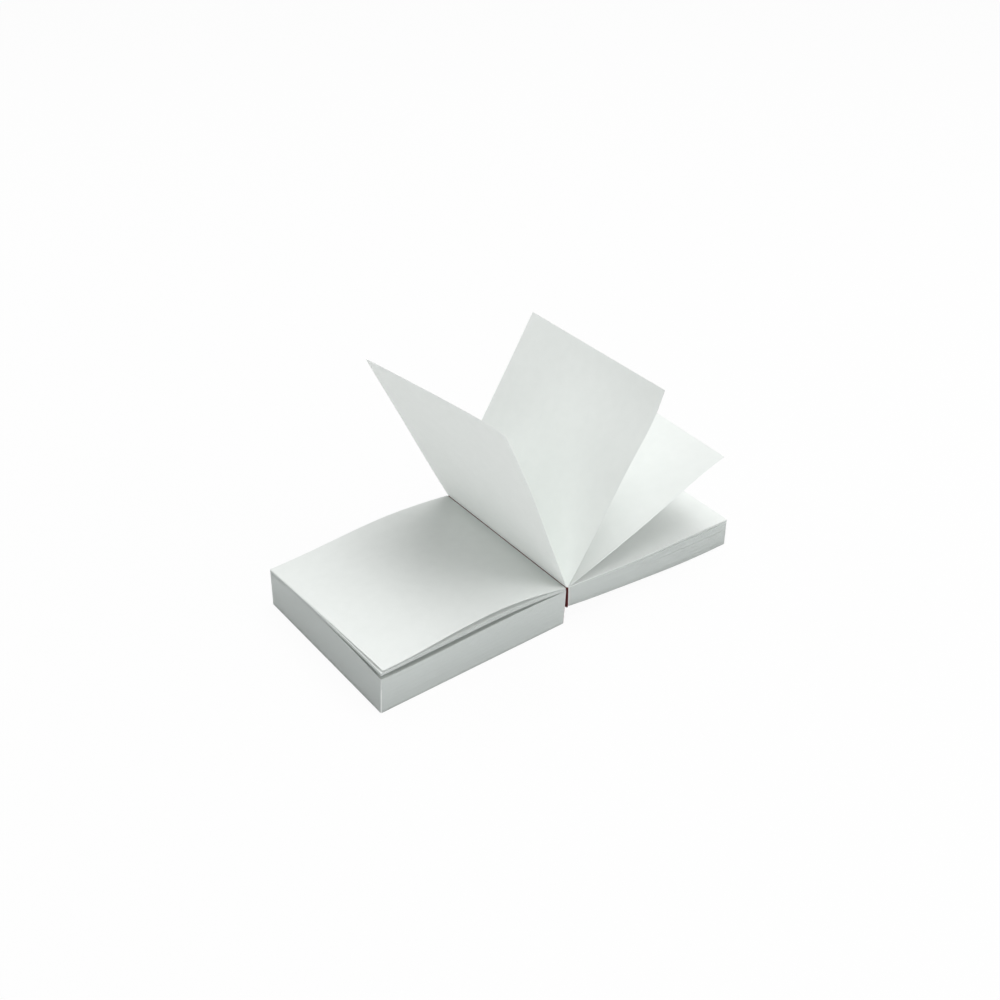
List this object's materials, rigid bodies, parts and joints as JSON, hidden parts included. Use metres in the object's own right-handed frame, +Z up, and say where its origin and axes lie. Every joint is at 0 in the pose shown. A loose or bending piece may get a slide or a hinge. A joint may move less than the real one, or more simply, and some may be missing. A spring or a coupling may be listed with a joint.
{
  "type": "memo pad",
  "caption": "Blank glued memo pad lying open on its spine, with a thick and a thin block of closed pages, lifted top sheets, leaves standing in a fan and a folded red glue film.",
  "frame": {"origin": "on the table, under the middle of the open pad's outline", "axes": "+X across the pad from the left block's fore edge to the right one's, +Y along the spine away from the near end, +Z up from the table"},
  "size_m": [0.1823, 0.085, 0.1029],
  "materials": {
    "paper": "matte",
    "glue": "satin"
  },
  "bodies": {
    "root": {"left_page_block": "paper", "lower_lifted_sheet": "paper", "upper_lifted_sheet": "paper", "left_standing_leaf": "paper", "middle_standing_leaf": "paper", "right_standing_leaf": "paper", "right_page_block": "paper", "glue_film": "glue"}
  },
  "joints": []
}
